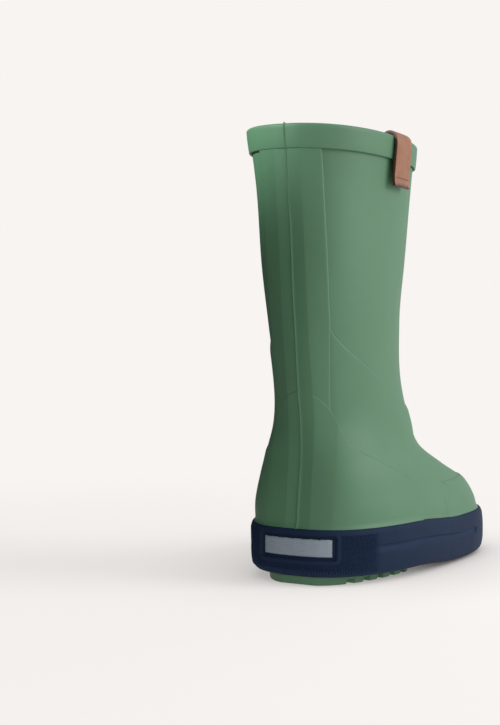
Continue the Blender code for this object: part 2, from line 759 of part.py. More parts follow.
def main():
    clear_scene()
    parts = new_collection("rubber_rain_boot")
    cutters = new_collection("cutters")
    rubber = make_material("green_rubber", GREEN, 0.42)
    navy = make_material("navy_rubber", NAVY, 0.5)
    silver = make_material("reflective_tape", SILVER, 0.35)
    leather = make_material("leather", LEATHER, 0.55)
    lining = make_material("lining_fabric", LINING_GREY, 0.95)
    board = make_material("board", BOARD_BROWN, 0.85)
    foam = make_material("insole_foam", FOAM_GREY, 0.9)
    filler = make_material("filler_foam", FILLER_BEIGE, 0.9)
    thread = make_material("thread", THREAD, 0.8)

    add_object("upper_shell", upper_shell(), rubber, parts)
    add_object("top_band", top_band(), rubber, parts)
    add_object("back_stay", back_stay(), rubber, parts)
    add_object("heel_counter", heel_counter(), rubber, parts)
    add_object("outer_quarter", quarter("outer_quarter", 1.0), rubber, parts)
    add_object("inner_quarter", quarter("inner_quarter", -1.0), rubber, parts)
    add_object("toe_cap", toe_cap(), rubber, parts)
    add_object("textile_lining", textile_lining(), lining, parts)
    add_object("insole_board", insole_board(), board, parts)
    add_object("midsole_filler", midsole_filler(), filler, parts)
    sole_sidewall(navy, parts, cutters)
    add_object("heel_reflector", heel_reflector(), silver, parts)
    tread("heel_tread", *HEEL_TREAD, HEEL_CHANNEL, rubber, parts, cutters)
    tread("forefoot_tread", *FOREFOOT_TREAD, FOREFOOT_CHANNEL, rubber, parts, cutters)
    foam_item = add_object("insole_foam", insole_foam(), foam, parts)
    cloth_item = add_object("insole_top_cloth", insole_top_cloth(), lining, parts)
    for item in (foam_item, cloth_item):
        put_origin_on(item, insole_hinge())
    add_object("tab_anchor", tab_anchor(), leather, parts)
    flap = add_object("tab_flap", tab_flap(), leather, parts)
    put_origin_on(flap, tab_hinge())
    add_object("tab_stitching", tab_stitching(), thread, parts)


main()
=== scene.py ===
"""The looks of the rubber rain boot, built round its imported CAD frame.

Every skin is a lift off one form, the same stack of sections that the CAD part is made from, so
each piece lies where its CAD node lies. Lengths inside the builders are millimetres in the row
frame: +Z up, toe along -Y, outer (lateral) side at -X, origin under the middle of the heel.
"""

import json
import math

import bmesh
import bpy
import numpy as np
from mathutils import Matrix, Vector


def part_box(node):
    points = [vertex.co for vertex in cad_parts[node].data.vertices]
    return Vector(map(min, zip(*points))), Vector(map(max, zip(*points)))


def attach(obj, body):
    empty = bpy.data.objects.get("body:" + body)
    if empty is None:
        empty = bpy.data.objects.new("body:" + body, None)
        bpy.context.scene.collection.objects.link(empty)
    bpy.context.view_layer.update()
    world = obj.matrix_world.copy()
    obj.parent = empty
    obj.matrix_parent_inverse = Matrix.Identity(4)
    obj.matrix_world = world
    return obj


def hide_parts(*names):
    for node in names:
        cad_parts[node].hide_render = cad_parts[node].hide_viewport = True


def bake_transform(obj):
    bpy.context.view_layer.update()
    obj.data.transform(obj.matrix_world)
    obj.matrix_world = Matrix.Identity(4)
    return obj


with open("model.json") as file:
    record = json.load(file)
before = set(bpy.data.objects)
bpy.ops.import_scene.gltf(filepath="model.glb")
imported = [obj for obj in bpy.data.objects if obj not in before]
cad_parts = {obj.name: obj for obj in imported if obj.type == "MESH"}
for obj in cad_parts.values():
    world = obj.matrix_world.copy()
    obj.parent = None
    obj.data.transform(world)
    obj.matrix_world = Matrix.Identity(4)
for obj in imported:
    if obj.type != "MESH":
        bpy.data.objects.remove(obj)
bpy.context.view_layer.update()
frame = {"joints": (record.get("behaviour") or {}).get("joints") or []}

MM = 0.001

# ---------------- the form, as in the CAD part (mm)
BOOT_HEIGHT = 235.0
HEEL_TO_ORIGIN = 31.0
# Each row: height, distance of the back and of the front behind and ahead of the heel line, half
# width on the outer and inner side, place of the widest point as a share of the length, squareness
# of the back and of the front, sideways lean of the toe.
SECTIONS = np.array((
    (4.0, -0.6, 187.0, 41.5, 47.2, 0.66, 2.8, 2.3, 5.0),
    (16.0, -1.6, 188.0, 43.0, 48.6, 0.66, 2.8, 2.3, 5.0),
    (30.0, -0.8, 186.0, 41.8, 49.0, 0.67, 2.9, 2.3, 5.0),
    (42.0, 0.6, 181.0, 38.4, 46.0, 0.6, 3.1, 2.25, 4.5),
    (54.0, 1.8, 149.5, 34.8, 41.0, 0.57, 3.0, 2.2, 3.5),
    (66.0, 2.9, 121.5, 30.1, 36.4, 0.54, 2.75, 2.15, 2.5),
    (80.0, 2.9, 109.0, 27.6, 33.7, 0.53, 2.25, 2.1, 1.0),
    (105.0, -0.4, 98.0, 25.9, 30.5, 0.48, 2.05, 2.1, 0.0),
    (135.0, -3.9, 95.5, 27.0, 31.7, 0.46, 2.2, 2.1, 0.0),
    (170.0, -7.0, 102.8, 28.5, 34.5, 0.42, 2.3, 2.1, 0.0),
    (205.0, -11.0, 108.6, 30.2, 36.0, 0.42, 2.3, 2.1, 0.0),
    (235.0, -14.7, 111.2, 33.3, 39.5, 0.42, 2.3, 2.1, 0.0),
))
RIM_LEAN = 0.035             # rise of the rim per mm across, towards its inner side
LEAN_START = 135.0

UPPER_THICKNESS = 1.8
UPPER_BOTTOM = 15.0
UPPER_TOP = 233.2
UPPER_SECTION = 16.0         # the section that the upper's floor follows
LINING_LIFT = -2.3
LINING_THICKNESS = 0.8
INSOLE_CLEARANCE = 2.2
INSOLE_SECTION = 24.0

BAND_LOWER_EDGE = 222.5
BAND_LIFT = 1.6

ARCH_RISE = 21.0
ARCH_HALF_WIDTH = 21.0
SKIRT_TOP = 80.0
SKIRT_FALL = 0.37
STAY_HALF_WIDTH = 18.5
STAY_TAPER = 2.5
STAY_TAPER_LENGTH = 40.0
DIAGONAL_START = 134.0
DIAGONAL_FALL = 48.0
DIAGONAL_POWER = 0.62
QUARTER_ARC = 86.0
QUARTER_RAKE = 0.27
CAP_REAR = 99.0
CAP_RAKE = 0.2
CAP_TOP = 46.0
OVERLAY_BOTTOM = 20.0

SOLE_BOTTOM = 4.6
SOLE_TOP = 29.0
SOLE_SECTION = 18.0          # the lowest section that the sole follows
SOLE_PROUD = 3.9
SOLE_INSET = 3.0
FOREFOOT_DROP = 3.0
DROP_START = 55.0
DROP_END = 115.0
GROOVE_BOTTOM = 16.0
GROOVE_TOP = 20.2
GROOVE_DEPTH = 1.2
GROOVE_START = 40.0
GROOVE_END = 157.0
REFLECTOR_HALF_WIDTH = 18.5
REFLECTOR_BOTTOM = 15.2
REFLECTOR_TOP = 24.2
FRAME_MARGIN = 1.9
FRAME_DEPTH = 1.5

TREAD_WIDTH = 0.80
TREAD_TOP = 4.3
TREAD_PLATE = 1.6
LUG_PITCH = 11.0
LUG_GAP = 4.2
SHORTEST_LUG = 1.5
# Rear end, front end and first channel of each tread, as distances from the heel line.
TREADS = {"heel_tread": (-1.0, 64.0, 14.5), "forefoot_tread": (98.0, 177.0, 107.0)}

TAB_WIDTH = 21.0
TAB_THICKNESS = 1.8
TAB_CENTRE = 50.5
TAB_BOTTOM = 208.5
TAB_INNER_BOTTOM = 212.0
TAB_STANDOFF = 0.8
TAB_SECTION = 230.0          # the section that the band and the tab follow

# ---------------- surface relief of the looks (mm)
STAY_LEVEL = 1.3             # how far each overlay's face stands off the upper
QUARTER_LEVEL = 0.95
COUNTER_LEVEL = 1.5
CAP_LEVEL = 0.6
ROUND_EDGE = 1.3             # rounding of an overlay's border
EMBED = 0.5                  # depth of an overlay's hidden face below the upper's face
BACK_FLATS = ((-18.5, -7.0, 0.38), (-7.0, 7.0, 0.5), (7.0, 18.5, 0.38))  # start, end, hollow
SEAM_HEIGHT = 0.8
SEAM_WIDTH = 0.34
KNURL_REACH = 44.0
KNURL_HEIGHT = 0.5
KNURL_PITCH = (1.35, 1.15)
MARK_DEPTH = 0.25            # of the pressed lines on the leather
PAINTED_HIGHLIGHT_TONE = 2.1            # brightness of the painted highlight on the rubber against the rest

# ---------------- studio (m)
BACKGROUND = (0.939, 0.905, 0.880)
FLOOR_COLOUR = (0.52, 0.50, 0.485)
FLOOR_GLOW = 0.58            # of the floor round the boot, against the backdrop
FLOOR_FADE = (0.22, 0.6)     # distances over which the floor melts into the backdrop
CONTACT_REACH = 0.07         # how far from the boot the floor's glow is held back
VIEW_DIRECTION = Vector((0.5143, -0.8576, -0.0133))
CAMERA_LEFT = Vector((0.8576, 0.5143, 0.0))
CAMERA_PLACE = (-0.3363, 0.6409, 0.1235)
CAMERA_LENS = 67.2


# ---------------- form functions, on arrays
def section_slopes():
    """Slope of every section value at each height, kept level where the value turns round."""
    rise = np.diff(SECTIONS[:, 1:], axis=0) / np.diff(SECTIONS[:, 0])[:, None]
    slopes = np.vstack([rise[:1], (rise[:-1] + rise[1:]) / 2, rise[-1:]])
    turns = np.vstack([np.zeros_like(rise[:1]), rise[:-1] * rise[1:] <= 0, np.zeros_like(rise[:1])])
    limit = 3 * np.minimum(np.abs(np.vstack([rise[:1], rise])), np.abs(np.vstack([rise, rise[-1:]])))
    return np.where(turns > 0, 0.0, np.clip(slopes, -limit, limit))


SLOPES = section_slopes()


def sections_at(height):
    """The section values at each height, from a cubic through the rows of SECTIONS."""
    height = np.clip(height, SECTIONS[0, 0], SECTIONS[-1, 0])
    row = np.clip(np.searchsorted(SECTIONS[:, 0], height, side="right") - 1, 0, len(SECTIONS) - 2)
    step = (SECTIONS[row + 1, 0] - SECTIONS[row, 0])[..., None]
    t = (height - SECTIONS[row, 0])[..., None] / step
    low, high = SECTIONS[row, 1:], SECTIONS[row + 1, 1:]
    return (low * (2 * t**3 - 3 * t**2 + 1) + SLOPES[row] * step * (t**3 - 2 * t**2 + t)
            + high * (3 * t**2 - 2 * t**3) + SLOPES[row + 1] * step * (t**3 - t**2))


def form_points(angle, height):
    """Points of the form: angle 0 is the back seam and grows towards the outer side."""
    angle, height = np.broadcast_arrays(np.asarray(angle, float), np.asarray(height, float))
    values = np.moveaxis(sections_at(height), -1, 0)
    back, front, outer, inner, widest, back_power, front_power, lean = values
    length = front - back
    along, across = np.cos(angle), np.sin(angle)
    power = 2.0 / np.where(along > 0, back_power, front_power)
    reach = np.abs(along) ** power
    reach = back + length * np.where(along > 0, widest * (1 - reach), widest + (1 - widest) * reach)
    side = np.where(across > 0, outer, inner) * np.copysign(np.abs(across) ** power, across)
    side = side - lean * ((reach - back) / length) ** 2
    lift = RIM_LEAN * -side * np.maximum(0.0, (height - LEAN_START) / (BOOT_HEIGHT - LEAN_START))
    return np.stack([-side, HEEL_TO_ORIGIN - reach, height + lift], axis=-1)


def unit(vectors):
    return vectors / np.linalg.norm(vectors, axis=-1, keepdims=True)


def form_normals(angle, height):
    """Outward normals of the form."""
    turn, rise = 0.02, 0.8
    round_it = form_points(angle + turn, height) - form_points(angle - turn, height)
    up_it = form_points(angle, np.minimum(height + rise, BOOT_HEIGHT)) - form_points(angle, height - rise)
    return unit(np.cross(round_it, up_it))


def skin(angle, height, lift):
    """Points lifted off the form along its normals."""
    return form_points(angle, height) + form_normals(angle, height) * np.asarray(lift)[..., None]


def level_skin(angle, section, lift, height):
    """Points of the section at `section`, lifted level and placed at `height`."""
    angle, section, lift, height = np.broadcast_arrays(angle, section, lift, height)
    normal = form_normals(angle, section)
    normal[..., 2] = 0.0
    points = form_points(angle, section) + unit(normal) * lift[..., None]
    points[..., 2] = height
    return points


# Arc lengths from the back seam: one table of arcs at even angles, one of angles at even arcs.
TABLE_HEIGHTS = np.arange(4.0, 235.5, 1.0)
TABLE_ANGLES = np.linspace(-math.pi, math.pi, 1441)
TABLE_ARCS = np.arange(-290.0, 290.5, 0.5)


def arc_tables():
    points = form_points(TABLE_ANGLES[None, :], TABLE_HEIGHTS[:, None])[..., :2]
    steps = np.linalg.norm(np.diff(points, axis=1), axis=-1)
    arcs = np.hstack([np.zeros((len(steps), 1)), np.cumsum(steps, axis=1)])
    arcs -= arcs[:, [len(TABLE_ANGLES) // 2]]
    return arcs, np.array([np.interp(TABLE_ARCS, row, TABLE_ANGLES) for row in arcs])


ARC_OF_ANGLE, ANGLE_OF_ARC = arc_tables()


def look_up(table, across, height, first, step):
    """Bilinear reading of a table whose rows are heights."""
    across, height = np.broadcast_arrays(np.asarray(across, float), np.asarray(height, float))
    i = np.clip(height - TABLE_HEIGHTS[0], 0, len(TABLE_HEIGHTS) - 1.001)
    j = np.clip((across - first) / step, 0, table.shape[1] - 1.001)
    i0, j0 = i.astype(int), j.astype(int)
    fi, fj = i - i0, j - j0
    return (table[i0, j0] * (1 - fi) * (1 - fj) + table[i0 + 1, j0] * fi * (1 - fj)
            + table[i0, j0 + 1] * (1 - fi) * fj + table[i0 + 1, j0 + 1] * fi * fj)


def angle_at(arc, height):
    return look_up(ANGLE_OF_ARC, arc, height, TABLE_ARCS[0], TABLE_ARCS[1] - TABLE_ARCS[0])


def arc_at(angle, height):
    return look_up(ARC_OF_ANGLE, angle, height, TABLE_ANGLES[0], TABLE_ANGLES[1] - TABLE_ANGLES[0])


def angle_at_reach(reach, height, side):
    """Angles on one side where the form is `reach` ahead of the heel line."""
    reach, height = np.broadcast_arrays(np.asarray(reach, float), np.asarray(height, float))
    low, high = np.full(reach.shape, 0.02), np.full(reach.shape, math.pi - 0.02)
    for _ in range(30):
        middle = (low + high) / 2
        short = HEEL_TO_ORIGIN - form_points(side * middle, height)[..., 1] < reach
        low, high = np.where(short, middle, low), np.where(short, high, middle)
    return side * low


def smooth(value, start, end):
    """0 before start, 1 after end, and a smooth step between."""
    t = np.clip((value - start) / (end - start), 0.0, 1.0)
    return t * t * (3 - 2 * t)


def bump(value, centre, width):
    return np.exp(-((value - centre) / width) ** 2)


# ---------------- relief shared by the rubber pieces
def back_relief(arc, height):
    """Soft upright flats round the back of the boot, and the mould's seam line down the middle."""
    hollow = np.zeros(np.broadcast(arc, height).shape)
    for start, end, depth in BACK_FLATS:
        across = np.clip((arc - (start + end) / 2) / ((end - start) / 2), -1, 1)
        hollow = hollow + depth * (1 - across**2)
    seam = SEAM_HEIGHT * bump(arc, 0.12 * np.sin(height / 9.0), SEAM_WIDTH)
    return seam - hollow * smooth(height, 24.0, 34.0)


def sidewall_drop(points):
    """How much lower the sidewall's edges run than at the heel."""
    return FOREFOOT_DROP * smooth(HEEL_TO_ORIGIN - points[..., 1], DROP_START, DROP_END)


def foot_relief(angle, height):
    """The rubber swells a little where it runs into the sole's top edge."""
    edge = SOLE_TOP - sidewall_drop(form_points(angle, height))
    return 0.9 * bump(height, edge - 0.6, 1.5)


# ---------------- mesh builders
def add_object(name, data):
    item = bpy.data.objects.new(name, data)
    bpy.context.scene.collection.objects.link(item)
    return item


def set_attribute(piece, name, values):
    """One number for each of the piece's vertices, for its material to read."""
    piece.data.attributes.new(name, "FLOAT", "POINT").data.foreach_set("value", values)


def grid_quads(index):
    """Quads of a grid of vertex numbers."""
    quads = (index[:-1, :-1], index[:-1, 1:], index[1:, 1:], index[1:, :-1])
    return np.stack(quads, axis=-1).reshape(-1, 4).tolist()


def add_piece(name, points, faces, material, slot, crease=50.0, body="boot", nodes=()):
    """A mesh piece from points in mm, riding on a body and standing for its CAD nodes.

    Unless nodes are given, it stands for the CAD node of its own name.
    """
    nodes = nodes or [name]
    mesh = bpy.data.meshes.new(name)
    mesh.from_pydata((np.asarray(points).reshape(-1, 3) * MM).tolist(), [], faces)
    work = bmesh.new()
    work.from_mesh(mesh)
    bmesh.ops.recalc_face_normals(work, faces=work.faces)
    work.to_mesh(mesh)
    work.free()
    mesh.shade_smooth()
    mesh.set_sharp_from_angle(angle=math.radians(crease))
    mesh.materials.append(material)
    piece = add_object(name, mesh)
    if body is not None:
        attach(piece, body)
    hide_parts(*nodes)
    return piece


def add_stack(name, parts, material, slot, crease=60.0, body="boot", closed_path=False):
    """A piece of one or more stacks of closed rings, capped at their ends unless the path is closed."""
    points, faces = [], []
    for rings in parts:
        rings = np.asarray(rings)
        index = len(points) + np.arange(rings[..., 0].size).reshape(rings.shape[:2])
        ends = index[[0, -1]].tolist()
        index = np.hstack([index, index[:, :1]])
        if closed_path:
            index = np.vstack([index, index[:1]])
        faces += grid_quads(index) + ([] if closed_path else ends)
        points += rings.reshape(-1, 3).tolist()
    return add_piece(name, points, faces, material, slot, crease, body)


def closed_sheet(outer, inner):
    """Points and quads of a sheet with thickness, from two equal grids joined round their border."""
    rows, columns = outer.shape[:2]
    index = np.arange(rows * columns).reshape(rows, columns)
    far = rows * columns
    faces = grid_quads(index) + grid_quads(far + index)
    border = [*index[0], *index[1:, -1], *index[-1, -2::-1], *index[-2:0:-1, 0]]
    for a, b in zip(border, border[1:] + border[:1]):
        faces.append([a, b, far + b, far + a])
    return np.concatenate([outer.reshape(-1, 3), inner.reshape(-1, 3)]), faces


EDGE_OFFSETS = np.array((0.0, 0.08, 0.2, 0.36, 0.6, 0.9))
EDGE_END = 1.3               # where the even spacing takes over from EDGE_OFFSETS


def stations(start, end, spacing, extra=()):
    """Positions from start to end, close together near both ends and at the extra places."""
    middle = np.linspace(start + EDGE_END, end - EDGE_END, max(2, int((end - start) / spacing)))
    places = np.concatenate([start + EDGE_OFFSETS, middle, end - EDGE_OFFSETS, np.asarray(extra, float)])
    return np.unique(np.round(places, 3))


def edge_round(distance):
    """Share of an overlay's level at a distance from its border: a rounded edge."""
    t = 1 - np.clip(distance / ROUND_EDGE, 0, 1)
    return np.sqrt(np.maximum(0.0, 1 - t * t))


def overlay(name, angles, heights, relief, distance, level, material):
    """A thin rubber overlay on the form, from a grid of sites and their distance to its border."""
    lift = relief + (level + EMBED / 2) * edge_round(distance) - EMBED / 2
    sheet = closed_sheet(skin(angles, heights, lift), skin(angles, heights, relief - EMBED))
    add_piece(name, *sheet, material, "green_rubber", crease=70)


def back_overlay(name, arcs, heights, distance, level, material):
    """An overlay on the back of the boot, placed by arc length from the back seam."""
    angles = angle_at(arcs, heights)
    relief = back_relief(arcs, heights) + foot_relief(angles, heights)
    overlay(name, angles, heights, relief, distance, level, material)


# ---------------- rubber upper
def angle_columns(fine_arcs, spacing, height):
    """Angles round a section: fine_arcs near the back seam, an even spacing beyond, fine at the toe."""
    half = arc_at(math.pi, height)
    reach = max(fine_arcs)
    far = np.arange(reach + spacing, half - 3.0, spacing)
    toe = half - np.array((2.2, 1.4, 0.9, 0.55, 0.25, 0.0))
    positive = np.concatenate([far, toe])
    arcs = np.concatenate([fine_arcs, positive, -positive[:-1]])
    return np.sort(np.unique(np.round(angle_at(arcs, height), 6)))


def front_ridge(angle, height):
    """The mould's parting line down the middle of the instep and the toe."""
    return 0.28 * bump((math.pi - np.abs(angle)) * 20.0, 0.0, 0.5) * smooth(90.0 - height, 0.0, 12.0)


def sock_rings(angles, heights, section, faces, lifts, floors):
    """Rings of a skin with a rim and a floor: up its outer face, and down its inner face.

    `faces` gives the two faces' lifts at the heights, and `section` shapes the floor.
    """
    corner = 1.6
    rings = []
    for face, lift, floor, step in zip(faces, lifts, floors, (1, -1)):
        edge = level_skin(angles, section, lift - corner, floor)
        bend = level_skin(angles, section, lift - corner / 5, floor + corner / 3)
        rim = level_skin(angles, UPPER_TOP, lift, UPPER_TOP)
        rim[:, 2] += RIM_LEAN * rim[:, 0]
        rings += [edge, bend, *skin(angles, heights, face), rim][::step]
    return rings


def make_upper(material):
    """The rubber upper: outer skin, rim, inner skin and floor, sunk a little under the back stay."""
    fine = np.arange(-22.0, 22.1, 1.0)
    angles = angle_columns(fine, 1.6, 60.0)
    heights = np.concatenate([np.arange(18.0, 24.0, 3.0), np.arange(24.0, 34.0, 0.7),
                              np.arange(34.0, 110.0, 1.6), np.arange(110.0, 226.0, 3.0), [230.0]])
    grid_angle, grid_height = np.meshgrid(angles, heights)
    arc = np.abs(arc_at(grid_angle, grid_height))
    sunk = 0.9 * (1 - smooth(arc, 13.0, 16.5))
    lift = foot_relief(grid_angle, grid_height) + front_ridge(grid_angle, grid_height) - sunk
    faces = (lift, np.full(lift.shape, -UPPER_THICKNESS))
    floors = (UPPER_BOTTOM, UPPER_BOTTOM + UPPER_THICKNESS)
    rings = sock_rings(angles, grid_height, UPPER_SECTION, faces, (0.0, -UPPER_THICKNESS), floors)
    add_stack("upper_shell", [rings], material, "green_rubber")


def make_band(material):
    """The rubber band rolled over the rim, undercut at its lower edge, with the mould's seam fin."""
    inside = LINING_LIFT - LINING_THICKNESS
    low, top = BAND_LOWER_EDGE, BOOT_HEIGHT
    profile = [(0.25, low + 1.0), (0.35, low + 0.35), (BAND_LIFT - 0.75, low + 0.1)]
    profile += [(BAND_LIFT - 0.45 + 0.45 * math.sin(t), low + 0.5 - 0.5 * math.cos(t))
                for t in np.linspace(0.2, math.pi / 2, 5)]
    profile += [(BAND_LIFT + 0.08, low + 3.0), (BAND_LIFT + 0.1, low + 6.5), (BAND_LIFT, top - 2.6)]
    profile += [(BAND_LIFT - 1.5 + 1.5 * math.cos(t), top - 1.5 + 1.5 * math.sin(t))
                for t in np.linspace(0.15, math.pi / 2, 7)]
    profile += [(-0.8, top + 0.02)]
    profile += [(inside + 0.9 - 0.9 * math.sin(t), top - 0.9 + 0.9 * math.cos(t))
                for t in np.linspace(0.0, math.pi / 2, 6)]
    profile += [(inside, UPPER_TOP + 0.4), (-0.5, UPPER_TOP + 0.3), (0.25, UPPER_TOP + 0.3)]
    at_seam = np.arange(-1.2, 1.25, 0.15)
    fine = np.concatenate([np.arange(-20.0, -1.2, 1.0), at_seam, np.arange(2.0, 20.5, 1.0)])
    angles = angle_columns(fine, 1.6, TAB_SECTION)
    arc = arc_at(angles, TAB_SECTION)
    rings = []
    for lift, height in profile:
        outside = smooth(lift, -1.6, 0.6)
        wander = 0.3 * math.sin((height - low) * 0.9)
        fin = bump(arc, wander, 0.32) * outside
        soft_flats = 0.5 * back_relief(arc, 200.0) * outside
        ring = level_skin(angles, min(height, 234.0), lift + 0.4 * fin + soft_flats, height)
        ring[:, 2] += RIM_LEAN * ring[:, 0] + 0.8 * fin * smooth(height, top - 1.2, top)
        rings.append(ring)
    add_stack("top_band", [rings], material, "green_rubber", closed_path=True)


# ---------------- overlays
def arch_height(arc):
    crown = ARCH_RISE * np.exp(-((np.abs(arc) / ARCH_HALF_WIDTH) ** 4))
    return crown + SKIRT_TOP - SKIRT_FALL * np.abs(arc)


def quarter_arc(height):
    return QUARTER_ARC + QUARTER_RAKE * (height - SOLE_TOP)


def stay_half_width(height):
    taper = np.clip((DIAGONAL_START - height) / STAY_TAPER_LENGTH, 0.0, 1.0)
    return STAY_HALF_WIDTH - STAY_TAPER * taper


SEAM_STATIONS = (-0.75, -0.5, -0.3, -0.15, 0.0, 0.15, 0.3, 0.5, 0.75)
FLAT_STATIONS = (-8.0, -7.5, -7.0, -6.5, -6.0, 6.0, 6.5, 7.0, 7.5, 8.0)
TUCK = 1.5                   # how far a piece runs on under the counter's arch
SIDE_TUCK = 1.0              # and a quarter under the stay


def make_back_stay(material):
    """The strip down the back seam, from under the band to under the counter's arch."""
    across = stations(-STAY_HALF_WIDTH, STAY_HALF_WIDTH, 1.0, SEAM_STATIONS + FLAT_STATIONS)
    rise = np.concatenate([np.linspace(0, 0.45, 50), np.linspace(0.46, 1, 40)])
    share, up = np.meshgrid(across / STAY_HALF_WIDTH, rise)
    low = arch_height(share * stay_half_width(SKIRT_TOP)) - TUCK
    heights = low + (BAND_LOWER_EDGE + 0.8 - low) * up
    arcs = share * stay_half_width(heights)
    distance = stay_half_width(heights) - np.abs(arcs)
    back_overlay("back_stay", arcs, heights, distance, STAY_LEVEL, material)


def make_heel_counter(material):
    """The arched piece that cups the heel."""
    reach = quarter_arc(SKIRT_TOP - SKIRT_FALL * QUARTER_ARC)
    stay_edges = (-STAY_HALF_WIDTH, STAY_HALF_WIDTH)
    columns = stations(-reach, reach, 1.0, SEAM_STATIONS + FLAT_STATIONS + stay_edges)
    down = np.concatenate([EDGE_OFFSETS, np.linspace(1.4, 4.0, 5), np.linspace(5.0, 100.0, 70)])
    top_arc, drop = np.meshgrid(columns, down)
    top = arch_height(top_arc)
    span = top - OVERLAY_BOTTOM
    # Near the top edge drop counts millimetres, and further down it counts percent of the span.
    far = smooth(drop, 0.9, 4.0)
    share = np.minimum(drop, 1.0) / span * (1 - far) + drop / 100.0 * far
    heights = top - span * share
    low_reach = quarter_arc(OVERLAY_BOTTOM)
    arcs = top_arc / reach * (low_reach + (reach - low_reach) * (1 - share))
    distance = np.minimum(span * share, reach - np.abs(top_arc))
    back_overlay("heel_counter", arcs, heights, distance, COUNTER_LEVEL, material)


def make_quarter(name, side, material):
    """The side piece under the ankle line, between the back stay, the counter and the instep."""
    reach = quarter_arc(SKIRT_TOP - SKIRT_FALL * QUARTER_ARC)
    rear = stay_half_width(SKIRT_TOP) - SIDE_TUCK
    columns = stations(rear, reach, 1.2)
    share, drop = np.meshgrid((columns - rear) / (reach - rear), np.linspace(0, 1, 46) ** 1.6)
    low_arc = rear + share * (reach - rear)
    top = DIAGONAL_START - DIAGONAL_FALL * share ** DIAGONAL_POWER
    low = arch_height(low_arc) - TUCK
    heights = top + (low - top) * drop
    start = stay_half_width(heights) - SIDE_TUCK
    arcs = start + (quarter_arc(heights) - start) * share
    distance = np.minimum(top - heights, quarter_arc(heights) - arcs)
    if side < 0:
        arcs, heights, distance = -arcs[:, ::-1], heights[:, ::-1], distance[:, ::-1]
    back_overlay(name, arcs, heights, distance, QUARTER_LEVEL, material)


def make_toe_cap(material):
    """The bumper over the toes; its rear edge crosses the foot on a slightly raked plane."""
    drop = np.concatenate([EDGE_OFFSETS, np.linspace(1.4, CAP_TOP - OVERLAY_BOTTOM, 30)])
    heights = CAP_TOP - drop
    reach = CAP_REAR + CAP_RAKE * (heights - SOLE_TOP)
    outer = angle_at_reach(reach, heights, 1.0)
    inner = 2 * math.pi + angle_at_reach(reach, heights, -1.0)
    width = 190.0
    ridge = np.array((-0.9, -0.5, -0.25, 0.0, 0.25, 0.5, 0.9))
    across = stations(0.0, width, 1.3, width / 2 + ridge)
    share = across[None, :] / width
    angles = outer[:, None] + (inner - outer)[:, None] * share
    grid_height = np.broadcast_to(heights[:, None], angles.shape)
    wrapped = np.where(angles > math.pi, angles - 2 * math.pi, angles)
    distance = np.minimum(drop[:, None], np.minimum(across, width - across)[None, :])
    relief = foot_relief(angles, grid_height) + front_ridge(wrapped, grid_height)
    overlay("toe_cap", angles, grid_height, relief, distance, CAP_LEVEL, material)


# ---------------- sole
# Lift and height of the sidewall's outer face, from its lower to its upper edge: a rounded lower
# corner, a plain wall from WALL_START to WALL_END, and a rounded upper corner.
SOLE_PROFILE = np.array((
    (0.15, 4.6), (0.7, 4.62), (1.3, 4.85), (1.9, 5.3), (2.5, 6.0), (2.95, 6.9), (3.3, 8.0),
    (3.6, 9.6), (3.8, 11.5), (3.9, 13.5), (3.9, 16.0), (3.9, 22.0), (3.85, 25.5), (3.7, 27.2),
    (3.45, 28.2), (3.05, 28.8), (2.5, 29.0), (0.6, 29.05),
))
WALL_START, WALL_END = 7, 13
SOLE_INSIDE = ((0.6, 25.0), (1.9, 24.9), (1.9, 14.7), (-1.1, 8.2))
RELIEF_HEIGHTS = (6.0, 28.0)


def frame_distance(arc, height):
    """Signed distance outside the rounded recess that holds the heel reflector."""
    corner = 1.6
    middle = (REFLECTOR_BOTTOM + REFLECTOR_TOP) / 2
    wide = REFLECTOR_HALF_WIDTH + FRAME_MARGIN - corner
    tall = (REFLECTOR_TOP - REFLECTOR_BOTTOM) / 2 + FRAME_MARGIN - corner
    dx, dz = np.abs(arc) - wide, np.abs(height - middle) - tall
    outside = np.hypot(np.maximum(dx, 0), np.maximum(dz, 0))
    return outside + np.minimum(np.maximum(dx, dz), 0) - corner


def sole_relief(arc, height):
    """Relief of the sole's side: groove, lipped recess and the heel's knurl; and a painted highlight on
    the knurl's tips and in the groove.
    """
    along = np.abs(arc)
    groove_depth = GROOVE_DEPTH * smooth(along, GROOVE_START, GROOVE_START + 9.0)
    groove_depth = groove_depth * (1 - smooth(along, GROOVE_END - 2.0, GROOVE_END + 1.0))
    in_groove = smooth(height, GROOVE_BOTTOM - 0.2, GROOVE_BOTTOM + 2.2)
    in_groove = in_groove * (1 - smooth(height, GROOVE_TOP - 0.25, GROOVE_TOP + 0.1))
    out = frame_distance(arc, height)
    recess = FRAME_DEPTH * (1 - smooth(out, -0.45, 0.1))
    lip = 0.3 * bump(out, 0.9, 0.75)
    wave_a = np.cos(2 * math.pi * arc / KNURL_PITCH[0])
    wave_z = np.cos(2 * math.pi * height / KNURL_PITCH[1])
    plain = (smooth(out, 1.2, 2.4) * (1 - smooth(along, KNURL_REACH - 4.0, KNURL_REACH + 3.0))
             * smooth(height, 5.4, 7.0) * (1 - smooth(height, 26.6, 27.8)))
    knurl = wave_a * wave_z * plain
    # Painted highlight: the groove's sloped lower face and the knurl's tips get a lighter colour, standing
    # in for the light they catch.
    groove_highlight = 0.3 * in_groove * groove_depth / GROOVE_DEPTH
    painted_highlight = np.maximum(np.maximum(knurl, 0) ** 2, groove_highlight)
    return KNURL_HEIGHT * knurl + lip - recess - groove_depth * in_groove, painted_highlight


